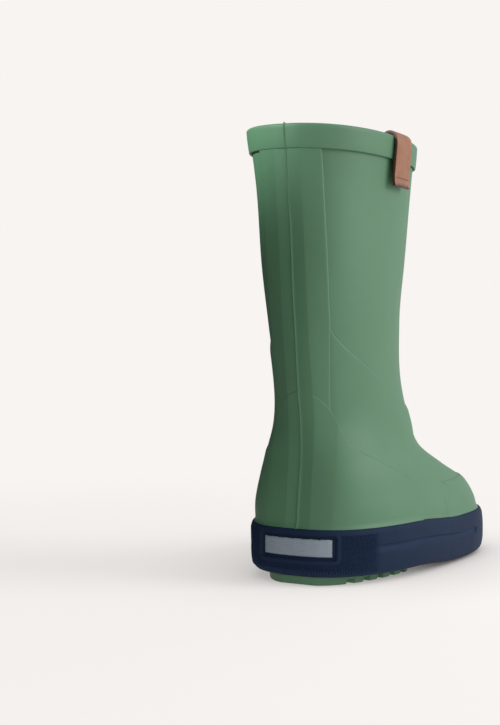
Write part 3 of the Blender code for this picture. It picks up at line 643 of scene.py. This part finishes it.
def make_sidewall(material):
    """The navy cup sole: outer wall with its relief, inner wall and floor."""
    fine = np.arange(-KNURL_REACH - 3.0, KNURL_REACH + 3.05, 0.3)
    angles = angle_columns(fine, 1.5, 20.0)
    ends = GROOVE_END + np.array((-2.0, -1.2, -0.5, 0.2, 1.0))
    angles = np.sort(np.concatenate([angles, angle_at(ends, 20.0), angle_at(-ends, 20.0)]))
    edges = (GROOVE_BOTTOM - 0.2, GROOVE_TOP - 0.25, GROOVE_TOP - 0.1, GROOVE_TOP + 0.1)
    wall = np.unique(np.round(np.concatenate([np.arange(8.3, 26.5, 0.29), edges]), 3))
    wall_lift = np.interp(wall, SOLE_PROFILE[:WALL_END, 1], SOLE_PROFILE[:WALL_END, 0])
    rows = np.vstack([SOLE_PROFILE[:WALL_START], np.stack([wall_lift, wall], 1), SOLE_PROFILE[WALL_END:]])
    rings = [level_skin(angles, SOLE_SECTION, -SOLE_INSET, SOLE_BOTTOM)]
    tone = [np.zeros(len(angles))]
    for lift, height in rows:
        section = min(max(height, SOLE_SECTION), SOLE_TOP)
        relief, painted_highlight = sole_relief(arc_at(angles, section), height)
        if RELIEF_HEIGHTS[0] < height < RELIEF_HEIGHTS[1]:
            lift = lift + relief
        tone.append(painted_highlight)
        ring = level_skin(angles, section, lift, height)
        ring[:, 2] -= sidewall_drop(ring)
        rings.append(ring)
    for lift, height in SOLE_INSIDE:
        rings.append(level_skin(angles, max(height, SOLE_SECTION), lift, height))
        tone.append(np.zeros(len(angles)))
    piece = add_stack("sole_sidewall", [rings], material, "navy_rubber")
    # The painted highlight on the knurl's tips and in the groove goes to the material as a vertex
    # attribute.
    set_attribute(piece, "painted_highlight", np.concatenate(tone))


def make_reflector(material):
    """A strip of woven reflective tape, a little uneven along its upper edge."""
    arcs = np.linspace(-REFLECTOR_HALF_WIDTH, REFLECTOR_HALF_WIDTH, 150)
    share = np.linspace(0.0, 1.0, 40)
    arc, up = np.meshgrid(arcs, share)
    wavy_top = REFLECTOR_TOP + 0.1 * np.sin(arc * 0.9) + 0.06 * np.sin(arc * 2.3 + 1.0)
    height = REFLECTOR_BOTTOM + (wavy_top - REFLECTOR_BOTTOM) * up
    bed = SOLE_PROUD - FRAME_DEPTH
    lift = np.full(arc.shape, bed + 0.85)
    lift += 0.05 * np.sin(arc * 1.1 + up * 2.0) * bump(up, 1.0, 0.4)
    border = np.minimum(np.minimum(up, 1 - up) * 9.0, REFLECTOR_HALF_WIDTH - np.abs(arc))
    lift -= 0.35 * (1 - edge_round(border * 1.2))
    angles = angle_at(arc, 20.0)
    outer = level_skin(angles, 20.0, lift, height)
    inner = level_skin(angles, 20.0, np.full(arc.shape, bed + 0.1), height)
    add_piece("heel_reflector", *closed_sheet(outer, inner), material, "reflective_tape", crease=60)


def tread_edge(reach, side):
    """Half width of a tread at a distance from the heel line, signed for its side."""
    angle = angle_at_reach(reach, SOLE_SECTION, side)
    return form_points(angle, SOLE_SECTION)[..., 0] * TREAD_WIDTH


def tread_ring(rear, front, inset, height, count=40):
    """A ring round part of a tread between two distances from the heel line."""
    share = (1 - np.cos(np.linspace(0, math.pi, count))) / 2
    reach = rear + inset + (front - rear - 2 * inset) * share
    rows = []
    for side in (1.0, -1.0):
        x = tread_edge(reach, side)
        x = x - np.sign(x) * np.minimum(inset, np.abs(x) * 0.5)
        rows.append(np.stack([x, HEEL_TO_ORIGIN - reach, np.full(count, height)], axis=-1))
    return np.concatenate([rows[0], rows[1][::-1]])


def make_tread(name, material):
    """The tread plate and its lugs, each lug a drafted block with rounded lower edges."""
    rear, front, first_channel = TREADS[name]
    plate_low = TREAD_TOP - TREAD_PLATE
    plate = ((0.5, plate_low - 0.1), (0.15, plate_low + 0.1), (0.0, plate_low + 0.5), (0.0, TREAD_TOP))
    lug = ((0.95, 0.0), (0.7, 0.08), (0.5, 0.3), (0.35, 0.8), (0.1, plate_low + 0.4))
    parts = [[tread_ring(rear, front, inset, height, 60) for inset, height in plate]]
    channels = np.arange(first_channel, front - LUG_GAP + 0.01, LUG_PITCH)
    starts = [rear, *(channels + LUG_GAP / 2)]
    ends = [*(channels - LUG_GAP / 2), front]
    for start, end in zip(starts, ends):
        if end - start > SHORTEST_LUG:
            parts.append([tread_ring(start, end, inset, height, 24) for inset, height in lug])
    add_stack(name, parts, material, "green_rubber", crease=45)


# ---------------- inside the boot
def make_lining(material):
    """The knitted sock inside the rubber, a little slack in the shaft."""
    angles = np.linspace(-math.pi, math.pi, 181)[:-1]
    bottom = UPPER_BOTTOM + UPPER_THICKNESS + 1.8
    heights = np.concatenate([np.arange(bottom + 3.0, 110.0, 2.5), np.arange(110.0, 232.0, 4.0)])
    grid_angle, grid_height = np.meshgrid(angles, heights)
    slack = 0.12 * np.sin(grid_angle * 5.0 + grid_height * 0.06) * smooth(grid_height, 60.0, 120.0)
    inside = LINING_LIFT - LINING_THICKNESS
    faces = (np.full(slack.shape, LINING_LIFT), inside + slack)
    floors = (bottom, bottom + LINING_THICKNESS)
    rings = sock_rings(angles, grid_height, bottom, faces, (LINING_LIFT, inside), floors)
    add_stack("textile_lining", [rings], material, "lining_fabric")


def add_layer(name, lift, section, profile, material, slot, body="boot"):
    """A flat layer as thick as its CAD node; profile gives inset and share of the thickness."""
    low, high = (corner.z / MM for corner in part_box(name))
    angles = np.linspace(-math.pi, math.pi, 161)[:-1]
    rings = [level_skin(angles, section, lift - inset, low + (high - low) * share)
             for inset, share in profile]
    return add_stack(name, [rings], material, slot, 50.0, body)


def make_insole(foam_look, cloth_look):
    """The loose insole: a foam bed with a rounded edge, and its top cloth pressed down at the edge."""
    lift = LINING_LIFT - LINING_THICKNESS - INSOLE_CLEARANCE
    bed = ((9.0, 0.0), (4.0, 0.0), (1.2, 0.0), (0.35, 0.06), (0.05, 0.25), (0.0, 0.5), (0.1, 0.8),
           (0.4, 0.96), (0.9, 1.0), (3.0, 1.0), (7.0, 1.0), (12.0, 1.0))
    foam = add_layer("insole_foam", lift, INSOLE_SECTION, bed, foam_look, "insole_foam", "insole")
    top = ((12.0, 0.0), (6.0, 0.0), (1.0, 0.0), (0.5, 0.1), (0.35, 0.45), (0.6, 0.8), (1.2, 0.9),
           (2.6, 0.95), (2.9, 0.7), (3.2, 0.7), (3.5, 0.95), (6.0, 1.0), (12.0, 1.0))
    cloth = add_layer("insole_top_cloth", lift, INSOLE_SECTION, top, cloth_look, "lining_fabric",
                      "insole")


def make_inner_plate(name, lift, material, slot):
    """A hidden flat layer with a rounded edge: the insole board or the midsole filler."""
    edge = ((0.35, 0.0), (0.1, 0.12), (0.0, 0.3), (0.0, 0.7), (0.1, 0.88), (0.35, 1.0))
    add_layer(name, lift, SOLE_SECTION, edge, material, slot)


# ---------------- leather pull tab
def tab_points(across, lift, height):
    """Points beside the rim at the tab: `across` is the distance from the tab's centre line."""
    centre = arc_at(angle_at_reach(TAB_CENTRE, TAB_SECTION, 1.0), TAB_SECTION)
    angle = angle_at(centre + across, TAB_SECTION)
    points = level_skin(angle, np.minimum(height, TAB_SECTION), lift, height)
    points[..., 2] += RIM_LEAN * points[..., 0]
    return points


def walk(line):
    """Distance walked along a line to each of its points."""
    return np.concatenate([[0], np.cumsum(np.linalg.norm(np.diff(line, axis=0), axis=1))])


def tab_path():
    """Centre line of the whole strap, from its outer end over the rim to its inner end."""
    half = TAB_THICKNESS / 2
    outside = BAND_LIFT + TAB_STANDOFF + half
    inside = LINING_LIFT - LINING_THICKNESS - TAB_STANDOFF - half
    crown = BOOT_HEIGHT + TAB_STANDOFF + half
    middle, radius = (outside + inside) / 2, (outside - inside) / 2
    path = [(outside + 1.0, TAB_BOTTOM), (outside + 0.3, 210.0)]
    path += [(outside, 214.0), (outside, 221.0), (outside, 226.0)]
    path += [(middle + radius * math.cos(t), crown - radius + radius * math.sin(t))
             for t in np.linspace(0.0, math.pi, 13)]
    path += [(inside, 226.0), (inside + 0.4, TAB_INNER_BOTTOM)]
    path = np.array(path)
    walked = walk(path)
    even = np.linspace(0, walked[-1], 190)
    line = np.stack([np.interp(even, walked, path[:, k]) for k in (0, 1)], axis=-1)
    for _ in range(14):
        line[1:-1] = (line[:-2] + 2 * line[1:-1] + line[2:]) / 4
    return line


def tab_marks(across, down):
    """Depth of the plain pressed lines on the outer face: a rule, a row of dashes and a row of dots."""
    inside = 1 - smooth(np.abs(across), 8.2, 8.7)
    rule = bump(down, 13.6, 0.3) * (1 - smooth(np.abs(across), 8.8, 9.2))
    dash_row = 1 - smooth(np.abs(down - 18.2), 1.5, 1.8)
    dot_row = 1 - smooth(np.abs(down - 22.6), 0.4, 0.7)
    dashes = dash_row * smooth(np.cos(across * 2 * math.pi / 2.4), -0.65, -0.2)
    dots = dot_row * smooth(np.cos(across * 2 * math.pi / 1.6), -0.3, 0.2)
    return MARK_DEPTH * np.clip(rule + (dashes + 0.6 * dots) * inside, 0.0, 1.0)


def raw_edges(mesh):
    """1 at the vertices round the cut edges of a closed sheet, and 0 elsewhere."""
    count = len(mesh.vertices) // 2
    near = np.zeros(len(mesh.vertices), np.float32)
    for edge in mesh.edges:
        a, b = edge.vertices
        if (a < count) != (b < count):
            near[a] = near[b] = 1.0
    return near


def make_tab(leather):
    """One leather strap bent over the rim, in one piece across the place of the joint between the boot and
    the tab.
    """
    line = tab_path()
    ahead = unit(np.gradient(line, axis=0))
    out = np.stack([ahead[:, 1], -ahead[:, 0]], axis=-1)
    half_width = TAB_WIDTH / 2
    across = stations(-half_width, half_width, 0.42)
    walked = walk(line)
    rising = 60              # samples of the line that surely lie on its outer leg
    from_top = np.interp(BOOT_HEIGHT, line[:rising, 1], walked[:rising]) - walked
    from_end = np.minimum(walked, walked[-1] - walked)[:, None]
    border = np.minimum(half_width - np.abs(across)[None, :], from_end)
    half = TAB_THICKNESS / 2 - 0.25 * (1 - edge_round(border * 2.0))
    marks = tab_marks(across[None, :], from_top[:, None])
    sides = []
    for reach in (half - marks, -half):
        lift = line[:, :1] + out[:, :1] * reach
        height = line[:, 1:] + out[:, 1:] * reach
        sides.append(tab_points(np.broadcast_to(across, lift.shape), lift, height))
    points, faces = closed_sheet(*sides)
    strap = add_piece("leather_tab", points, faces, leather, "tab_leather", body=None,
                      nodes=["tab_flap", "tab_anchor"])
    pressed = np.zeros(len(points))
    pressed[:marks.size] = marks.ravel() / MARK_DEPTH
    set_attribute(strap, "pressed", pressed)
    set_attribute(strap, "raw_edge", raw_edges(strap.data))
    joint = next(j for j in frame["joints"] if j["name"] == "tab_lift")
    along = Vector(joint["axis"])
    outward = Vector((along.y, -along.x, 0)).normalized()
    if outward.x > 0:
        outward = -outward
    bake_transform(strap)


def make_stitching(thread):
    """A row of thread stitches that hold the inner leg of the tab, each one a short bowed bar."""
    lift = tab_path()[-1][0] - TAB_THICKNESS / 2
    height = TAB_INNER_BOTTOM + 3.0
    reach = TAB_WIDTH / 2 - 2.5
    count, sides, rings_each, radius = 8, 8, 9, 0.3
    pitch = 2 * reach / count
    turn = np.linspace(0, 2 * math.pi, sides + 1)[:-1]
    bow = np.sin(np.linspace(0, math.pi, rings_each))
    stitches = []
    for number in range(count):
        left = -reach + number * pitch + 0.35
        across = np.linspace(left, left + pitch - 0.7, rings_each)
        stitches.append([tab_points(np.full(sides, a), lift + 0.2 - 0.55 * b + radius * np.cos(turn),
                                    height + radius * np.sin(turn)) for a, b in zip(across, bow)])
    add_stack("tab_stitching", stitches, thread, "thread", 50.0)


# ---------------- materials
def new_material(name):
    """A material, its node tree, its shader and the object's own coordinates."""
    material = bpy.data.materials.new(name)
    material.use_nodes = True
    tree = material.node_tree
    place = tree.nodes.new("ShaderNodeTexCoord").outputs["Object"]
    return material, tree, tree.nodes["Principled BSDF"], place


def add_node(tree, kind, inputs, **settings):
    """A shader node with its settings, and each input linked to a socket or set to a value."""
    node = tree.nodes.new("ShaderNode" + kind)
    for key, value in settings.items():
        setattr(node, key, value)
    for key, value in inputs.items():
        if isinstance(value, bpy.types.NodeSocket):
            tree.links.new(value, node.inputs[key])
        else:
            node.inputs[key].default_value = value
    return node


def noise(tree, vector, scale, detail=2.0, roughness=0.5):
    inputs = {"Vector": vector, "Scale": scale, "Detail": detail, "Roughness": roughness}
    return add_node(tree, "TexNoise", inputs).outputs["Fac"]


def wave(tree, vector, scale, direction, distortion):
    inputs = {"Vector": vector, "Scale": scale, "Distortion": distortion}
    return add_node(tree, "TexWave", inputs, bands_direction=direction).outputs["Fac"]


def cells(tree, vector, scale, feature="F1"):
    inputs = {"Vector": vector, "Scale": scale}
    return add_node(tree, "TexVoronoi", inputs, feature=feature).outputs["Distance"]


def math_node(tree, operation, a, b):
    return add_node(tree, "Math", {0: a, 1: b}, operation=operation).outputs[0]


def plus_share(tree, a, b, share):
    """a plus a share of b."""
    return math_node(tree, "ADD", a, math_node(tree, "MULTIPLY", b, share))


def ramp(tree, fac, low, high, start=0.0, end=1.0):
    node = add_node(tree, "ValToRGB", {"Fac": fac})
    for element, position, colour in zip(node.color_ramp.elements, (start, end), (low, high)):
        element.position = position
        element.color = (*colour, 1)
    return node.outputs["Color"]


def mix_colours(tree, fac, first, second):
    return add_node(tree, "Mix", {0: fac, 6: first, 7: (*second, 1)}, data_type="RGBA").outputs[2]


def to_range(tree, value, low, high):
    inputs = {"Value": value, "To Min": low, "To Max": high}
    return add_node(tree, "MapRange", inputs).outputs["Result"]


def ease(tree, value, start, end, low=0.0, high=1.0):
    """A smooth step from low to high while the value goes from start to end."""
    inputs = {"Value": value, "From Min": start, "From Max": end, "To Min": low, "To Max": high}
    return add_node(tree, "MapRange", inputs, interpolation_type="SMOOTHSTEP").outputs["Result"]


def attribute(tree, name):
    return add_node(tree, "Attribute", {}, attribute_name=name).outputs["Fac"]


def shade(colour, factor):
    return tuple(channel * factor for channel in colour)


def dress(tree, shader, colour, roughness, relief, strength, depth):
    """Link a shader's colour and roughness, and its fine relief as a bump of some depth in metres."""
    tree.links.new(colour, shader.inputs["Base Color"])
    tree.links.new(roughness, shader.inputs["Roughness"])
    node = add_node(tree, "Bump", {"Strength": strength, "Distance": depth, "Height": relief})
    tree.links.new(node.outputs["Normal"], shader.inputs["Normal"])


def rubber_material(name, colour, low_rough, high_rough, gloss_level, grain):
    """Moulded rubber: soft cloudy tone, uneven gloss and a fine grain, lighter where a highlight is
    painted on.
    """
    material, tree, shader, place = new_material(name)
    cloud = noise(tree, place, 28.0, 4.0, 0.6)
    plain = ramp(tree, cloud, shade(colour, 0.96), shade(colour, 1.04), 0.3, 0.7)
    # Painted highlight: the base colour is lighter where the sole's attribute marks the knurl's tips and
    # the groove.
    tone = mix_colours(tree, attribute(tree, "painted_highlight"), plain, shade(colour, PAINTED_HIGHLIGHT_TONE))
    gloss = to_range(tree, noise(tree, place, 90.0, 3.0, 0.6), low_rough, high_rough)
    fine = plus_share(tree, noise(tree, place, 2600.0), noise(tree, place, 160.0, 3.0), 1.5)
    dress(tree, shader, tone, gloss, fine, grain, 0.0002)
    shader.inputs["Specular IOR Level"].default_value = gloss_level
    return material


def knit_material(name, colour, scale):
    """Knitted textile: rows of small loops, slightly fuzzy, with uneven tone."""
    material, tree, shader, place = new_material(name)
    rows = wave(tree, place, scale, "Z", 1.5)
    loops = math_node(tree, "MULTIPLY", rows, wave(tree, place, scale * 0.7, "DIAGONAL", 1.0))
    uneven = plus_share(tree, loops, noise(tree, place, 60.0, 4.0), 0.7)
    tone = ramp(tree, uneven, shade(colour, 0.6), shade(colour, 1.25), 0.2, 1.2)
    dress(tree, shader, tone, to_range(tree, loops, 0.85, 1.0), loops, 0.7, 0.0004)
    shader.inputs["Sheen Weight"].default_value = 0.25
    return material


def tape_material():
    """Woven silver reflective tape: fine crossing threads with a greyish sheen."""
    material, tree, shader, place = new_material("reflective_tape")
    weave = math_node(tree, "ADD", wave(tree, place, 330.0, "X", 0.6), wave(tree, place, 330.0, "Z", 0.6))
    uneven = plus_share(tree, weave, noise(tree, place, 220.0, 4.0), 1.2)
    tone = ramp(tree, uneven, (0.125, 0.155, 0.19), (0.29, 0.34, 0.40), 0.3, 2.2)
    dress(tree, shader, tone, to_range(tree, noise(tree, place, 400.0), 0.38, 0.6), weave, 0.5, 0.0002)
    shader.inputs["Metallic"].default_value = 0.35
    return material


def leather_material():
    """Tan leather: pebbled grain and pores on the face, burnt pressed marks and dark raw edges."""
    material, tree, shader, place = new_material("tab_leather")
    pebbles = cells(tree, place, 1300.0, "DISTANCE_TO_EDGE")
    grain = plus_share(tree, noise(tree, place, 140.0, 5.0, 0.65), pebbles, 0.6)
    face = ramp(tree, grain, (0.22, 0.088, 0.042), (0.36, 0.155, 0.082), 0.3, 0.9)
    marked = mix_colours(tree, attribute(tree, "pressed"), face, (0.085, 0.03, 0.013))
    tone = mix_colours(tree, attribute(tree, "raw_edge"), marked, (0.05, 0.018, 0.007))
    gloss = to_range(tree, noise(tree, place, 300.0, 3.0), 0.45, 0.68)
    dress(tree, shader, tone, gloss, grain, 0.35, 0.0003)
    return material


def foam_material(name, low, high, scale):
    """Closed-cell foam or pressed fibre: fine irregular cells."""
    material, tree, shader, place = new_material(name)
    uneven = math_node(tree, "ADD", cells(tree, place, scale), noise(tree, place, scale * 0.3, 3.0))
    tone = ramp(tree, uneven, low, high, 0.3, 1.2)
    dress(tree, shader, tone, to_range(tree, uneven, 0.8, 1.0), uneven, 0.5, 0.0003)
    return material


def thread_material():
    """Twisted waxed thread."""
    material, tree, shader, place = new_material("thread")
    twist = wave(tree, place, 900.0, "DIAGONAL", 0.5)
    tone = ramp(tree, twist, (0.36, 0.2, 0.1), (0.62, 0.38, 0.2))
    dress(tree, shader, tone, to_range(tree, twist, 0.55, 0.75), twist, 0.5, 0.0001)
    return material


# ---------------- studio
def along(tree, place, direction):
    """How far a place lies along a direction."""
    return add_node(tree, "VectorMath", {0: place, 1: direction}, operation="DOT_PRODUCT").outputs["Value"]


def glow(tree, strength):
    return add_node(tree, "Emission", {"Color": (*BACKGROUND, 1), "Strength": strength}).outputs[0]


def floor_material():
    """Pale and matt near the boot, with a glow that the boot holds back, and plain backdrop beyond.

    The glow lights the boot less from the floor on its inner side than on its outer side.
    """
    material, tree, shader, place = new_material("floor")
    tree.nodes.remove(shader)
    distance = add_node(tree, "VectorMath", {0: place}, operation="LENGTH").outputs["Value"]
    inward = along(tree, place, CAMERA_LEFT)
    seen = tree.nodes.new("ShaderNodeLightPath").outputs["Is Camera Ray"]
    strength = math_node(tree, "MAXIMUM", ease(tree, inward, -0.05, 0.2, 1.0, 0.12), seen)
    open_share = add_node(tree, "AmbientOcclusion", {"Distance": CONTACT_REACH}).outputs["AO"]
    closed = math_node(tree, "SUBTRACT", 1.0, open_share)
    loss = math_node(tree, "MULTIPLY", closed, ease(tree, inward, -0.09, 0.0, 1.0, 0.3))
    contact = math_node(tree, "MULTIPLY", math_node(tree, "SUBTRACT", 1.0, loss), FLOOR_GLOW)
    near_glow = glow(tree, math_node(tree, "MULTIPLY", strength, contact))
    matt = add_node(tree, "BsdfDiffuse", {"Color": (*FLOOR_COLOUR, 1)}).outputs[0]
    near = add_node(tree, "AddShader", {0: near_glow, 1: matt}).outputs[0]
    fade = ease(tree, distance, *FLOOR_FADE)
    mix = add_node(tree, "MixShader", {0: fade, 1: near, 2: glow(tree, strength)}).outputs[0]
    tree.links.new(mix, tree.nodes["Material Output"].inputs["Surface"])
    return material


def make_floor():
    """A pale floor that takes soft shadows near the boot and melts into the backdrop further out."""
    work = bmesh.new()
    bmesh.ops.create_circle(work, cap_ends=True, radius=4.0, segments=96)
    mesh = bpy.data.meshes.new("floor")
    work.to_mesh(mesh)
    work.free()
    mesh.materials.append(floor_material())
    add_object("floor", mesh)


def make_world():
    """Even studio light from all round, weaker from the boot's inner side, on a plain backdrop."""
    world = bpy.data.worlds.new("studio")
    bpy.context.scene.world = world
    world.use_nodes = True
    tree = world.node_tree
    place = tree.nodes.new("ShaderNodeTexCoord").outputs["Generated"]
    dark_side = (CAMERA_LEFT + VIEW_DIRECTION * 0.45).normalized()
    dim = ease(tree, along(tree, place, dark_side), 0.1, 0.6)
    light = tree.nodes["Background"]
    light.inputs["Strength"].default_value = 0.75
    tree.links.new(ramp(tree, dim, (0.98, 0.99, 1.0), (0.015, 0.03, 0.02)), light.inputs["Color"])
    backdrop = add_node(tree, "Background", {"Color": (*BACKGROUND, 1)}).outputs[0]
    seen = tree.nodes.new("ShaderNodeLightPath").outputs["Is Camera Ray"]
    mix = add_node(tree, "MixShader", {0: seen, 1: light.outputs[0], 2: backdrop}).outputs[0]
    tree.links.new(mix, tree.nodes["World Output"].inputs["Surface"])


def aim(item, place, direction):
    """Put a lamp or camera at a place, looking in a direction."""
    item.location = place
    item.rotation_mode = "QUATERNION"
    item.rotation_quaternion = direction.to_track_quat("-Z", "Y")


def add_lamp(name, kind, target, offset, power):
    """A lamp at an offset from the target that it shines on."""
    data = bpy.data.lights.new(name, kind)
    data.energy = power
    aim(add_object(name, data), target + offset, -offset)
    return data


def make_lamps():
    """A large soft lamp on the camera's right, and a narrow beam onto the rim from its left."""
    right = -CAMERA_LEFT * 1.5 - VIEW_DIRECTION * 0.2 + Vector((0.0, 0.0, 0.7))
    soft = add_lamp("soft_lamp", "AREA", Vector((0.0, -0.02, 0.14)), right, 14.0)
    soft.shape = "DISK"
    soft.size = 1.1
    left = CAMERA_LEFT * 0.9 - VIEW_DIRECTION * 0.55 + Vector((0.0, 0.0, 0.55))
    beam = add_lamp("rim_beam", "SPOT", Vector((0.03, 0.01, 0.257)), left, 115.0)
    beam.spot_size = math.radians(7.5)
    beam.spot_blend = 1.0
    beam.shadow_soft_size = 0.02


def make_camera():
    data = bpy.data.cameras.new("camera")
    data.lens = CAMERA_LENS
    data.clip_start = 0.01
    camera = add_object("camera", data)
    aim(camera, CAMERA_PLACE, VIEW_DIRECTION)
    bpy.context.scene.camera = camera


# ---------------- build
def main():
    green = rubber_material("green_rubber", (0.079, 0.195, 0.104), 0.5, 0.6, 0.5, 0.1)
    navy = rubber_material("navy_rubber", (0.0095, 0.0215, 0.052), 0.6, 0.72, 0.12, 0.15)
    lining = knit_material("lining_fabric", (0.3, 0.31, 0.29), 260.0)
    make_upper(green)
    make_band(green)
    make_back_stay(green)
    make_heel_counter(green)
    make_quarter("outer_quarter", 1, green)
    make_quarter("inner_quarter", -1, green)
    make_toe_cap(green)
    make_sidewall(navy)
    make_reflector(tape_material())
    for name in TREADS:
        make_tread(name, green)
    make_lining(lining)
    make_insole(foam_material("insole_foam", (0.06, 0.063, 0.066), (0.15, 0.155, 0.16), 900.0),
                knit_material("insole_cloth", (0.26, 0.27, 0.26), 420.0))
    board = foam_material("insole_board", (0.26, 0.18, 0.1), (0.45, 0.34, 0.22), 500.0)
    make_inner_plate("insole_board", -UPPER_THICKNESS - 1.6, board, "insole_board")
    filler = foam_material("filler_foam", (0.36, 0.31, 0.22), (0.55, 0.5, 0.38), 350.0)
    make_inner_plate("midsole_filler", -2.6, filler, "filler_foam")
    make_tab(leather_material())
    make_stitching(thread_material())

    make_camera()
    make_world()
    make_lamps()
    make_floor()
    bpy.context.scene.view_settings.view_transform = "Standard"


main()
